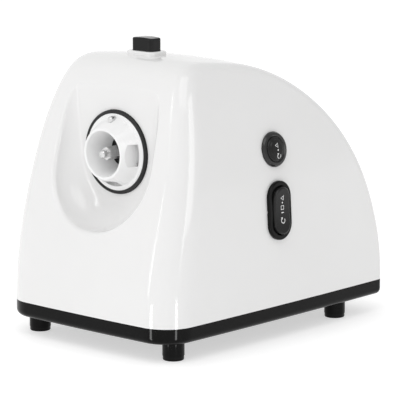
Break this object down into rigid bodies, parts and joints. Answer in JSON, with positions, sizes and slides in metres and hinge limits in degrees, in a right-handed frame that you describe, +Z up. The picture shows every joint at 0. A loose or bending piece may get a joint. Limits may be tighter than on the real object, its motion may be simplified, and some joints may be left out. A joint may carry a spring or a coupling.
{
  "type": "meat grinder drive unit",
  "caption": "White gloss drive unit of a meat grinder: curved housing, bayonet head socket in a scooped recess, lock button, two switches, black footed base.",
  "frame": {"origin": "middle of the overall width and length, at the floor under the feet", "axes": "+Z up; the head socket faces -Y and the rear slopes down towards +Y; the two switches are on the +X side"},
  "size_m": [0.1722, 0.2414, 0.217],
  "materials": {
    "white_gloss": "gloss",
    "socket_white": "satin",
    "black_gloss": "gloss",
    "black_satin": "satin",
    "black_matte": "matte",
    "black_rubber": "matte",
    "bright_steel": "brushed",
    "screw_steel": "satin",
    "core_steel": "matte",
    "gear_steel": "satin",
    "nylon": "satin",
    "cast_alloy": "cast",
    "bronze": "sintered",
    "copper": "enamelled",
    "carbon": "matte",
    "terminal_plastic": "matte",
    "capacitor_yellow": "matte",
    "wire_brown": "satin",
    "wire_blue": "satin",
    "fan_grey": "matte"
  },
  "bodies": {
    "drive_base": {"housing": "white_gloss", "base": "black_gloss", "foot_pads": "black_rubber", "base_screws": "screw_steel", "dampers": "black_rubber", "head_socket": "socket_white", "socket_gasket": "black_rubber", "socket_screws": "screw_steel", "second_axle": "bright_steel", "first_axle": "bright_steel", "output_bushes": "bronze", "shaft_seal": "black_rubber", "gear_case": "cast_alloy", "gear_cover": "cast_alloy", "case_screws": "screw_steel", "stator_core": "core_steel", "field_coils": "copper", "motor_bearings": "bright_steel", "motor_bracket_front": "cast_alloy", "motor_bracket_rear": "cast_alloy", "motor_bolts": "screw_steel", "motor_screws": "screw_steel", "brush_holders": "bronze", "brushes": "carbon", "brush_springs": "bright_steel", "lock_springs": "bright_steel", "reverse_bezel": "black_gloss", "reverse_spring": "bright_steel", "reverse_switch": "black_matte", "rocker_bezel": "black_gloss", "rocker_switch": "black_matte", "terminal_block": "terminal_plastic", "capacitor": "capacitor_yellow", "cord_clamp": "black_matte", "clamp_screws": "screw_steel", "cord_gland": "black_rubber", "wires_live": "wire_brown", "wires_neutral": "wire_blue"},
    "lock_button": {"lock_button": "black_gloss", "lock_cross_pin": "bright_steel"},
    "latch": {"latch_pin": "bright_steel", "latch_slide": "nylon"},
    "reverse_button": {"reverse_button": "black_satin"},
    "rocker": {"rocker": "black_satin"},
    "rotor": {"rotor_core": "core_steel", "armature_winding": "copper", "motor_shaft": "bright_steel", "motor_pinion": "gear_steel", "commutator": "copper", "fan": "fan_grey"},
    "first_gear": {"first_gear": "nylon"},
    "second_gear": {"second_gear": "nylon"},
    "output": {"output_gear": "gear_steel", "output_shaft": "bright_steel", "shaft_ring": "screw_steel"}
  },
  "joints": [
    {"name": "lock_button_press", "type": "slide", "parent": "drive_base", "child": "lock_button", "axis": [0, 0, -1], "range_m": [0, 0.005], "stiffness_N_per_m": 900, "springref_m": -0.002, "deforming": ["lock_springs"]},
    {"name": "latch_travel", "type": "slide", "parent": "drive_base", "child": "latch", "axis": [0, 1, 0], "range_m": [0, 0.005]},
    {"name": "reverse_button_press", "type": "slide", "parent": "drive_base", "child": "reverse_button", "axis": [-0.984, 0, -0.1783], "range_m": [0, 0.0025], "stiffness_N_per_m": 600, "springref_m": -0.0012, "deforming": ["reverse_spring"]},
    {"name": "rocker_tilt", "type": "hinge", "parent": "drive_base", "child": "rocker", "pos_m": [0.07857, -0.004, 0.09464], "axis": [0, 1, 0], "range_deg": [-8, 8]},
    {"name": "motor_spin", "type": "hinge", "parent": "drive_base", "child": "rotor", "pos_m": [-0.01348, 0, 0.07033], "axis": [0, 1, 0], "continuous": true},
    {"name": "first_gear_spin", "type": "hinge", "parent": "drive_base", "child": "first_gear", "pos_m": [0.00966, 0, 0.09791], "axis": [0, 1, 0], "continuous": true},
    {"name": "second_gear_spin", "type": "hinge", "parent": "drive_base", "child": "second_gear", "pos_m": [-0.03068, 0, 0.10649], "axis": [0, 1, 0], "continuous": true},
    {"name": "output_spin", "type": "hinge", "parent": "drive_base", "child": "output", "pos_m": [-0.00258, 0, 0.1377], "axis": [0, 1, 0], "continuous": true}
  ],
  "couplings": [
    {"joint": "latch_travel", "follows": "lock_button_press", "ratio": 1},
    {"joint": "first_gear_spin", "follows": "motor_spin", "ratio": -0.2},
    {"joint": "second_gear_spin", "follows": "motor_spin", "ratio": 0.044444},
    {"joint": "output_spin", "follows": "motor_spin", "ratio": -0.012121}
  ]
}
